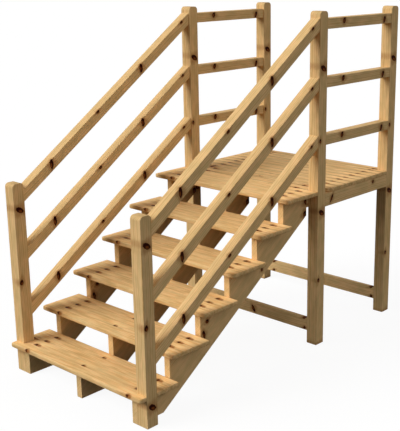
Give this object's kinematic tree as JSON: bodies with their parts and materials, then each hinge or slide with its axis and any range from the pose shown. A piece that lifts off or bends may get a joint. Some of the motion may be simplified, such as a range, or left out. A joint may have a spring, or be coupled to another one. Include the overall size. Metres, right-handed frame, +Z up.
{
  "type": "wooden deck stairs with landing",
  "caption": "Open-riser pine deck stairs: sawtooth stringers and thick treads rise between posts with sloping rails to a railed landing deck on posts.",
  "frame": {"origin": "on the ground, below the middle of the whole stairs", "axes": "+X to the right of somebody climbing, +Y in the climbing direction, +Z up"},
  "size_m": [1.186, 2.407, 2.155],
  "materials": {
    "stringer_pine": "planed, untreated softwood with knots",
    "tread_pine": "planed, untreated softwood with knots",
    "post_pine": "planed, untreated softwood with knots",
    "rail_pine": "planed, untreated softwood with knots",
    "frame_pine": "planed, untreated softwood with knots"
  },
  "bodies": {
    "root": {"cross_brace_back": "frame_pine", "cross_brace_front": "frame_pine", "deck_back_boards": "tread_pine", "deck_boards": "tread_pine", "deck_front_boards": "tread_pine", "header_back": "frame_pine", "header_front": "frame_pine", "joist_centre": "frame_pine", "joist_left": "frame_pine", "joist_right": "frame_pine", "landing_beam_left": "frame_pine", "landing_beam_right": "frame_pine", "landing_post_back_left": "post_pine", "landing_post_back_right": "post_pine", "landing_post_front_left": "post_pine", "landing_post_front_right": "post_pine", "landing_rail_left_bottom": "rail_pine", "landing_rail_left_middle": "rail_pine", "landing_rail_left_top": "rail_pine", "landing_rail_right_bottom": "rail_pine", "landing_rail_right_middle": "rail_pine", "landing_rail_right_top": "rail_pine", "landing_tread": "tread_pine", "newel_left": "post_pine", "newel_right": "post_pine", "stair_rail_left_bottom": "rail_pine", "stair_rail_left_middle": "rail_pine", "stair_rail_left_top": "rail_pine", "stair_rail_right_bottom": "rail_pine", "stair_rail_right_middle": "rail_pine", "stair_rail_right_top": "rail_pine", "stringer_centre": "stringer_pine", "stringer_left": "stringer_pine", "stringer_right": "stringer_pine", "tread_1": "tread_pine", "tread_2": "tread_pine", "tread_3": "tread_pine", "tread_4": "tread_pine", "tread_5": "tread_pine"}
  },
  "joints": []
}
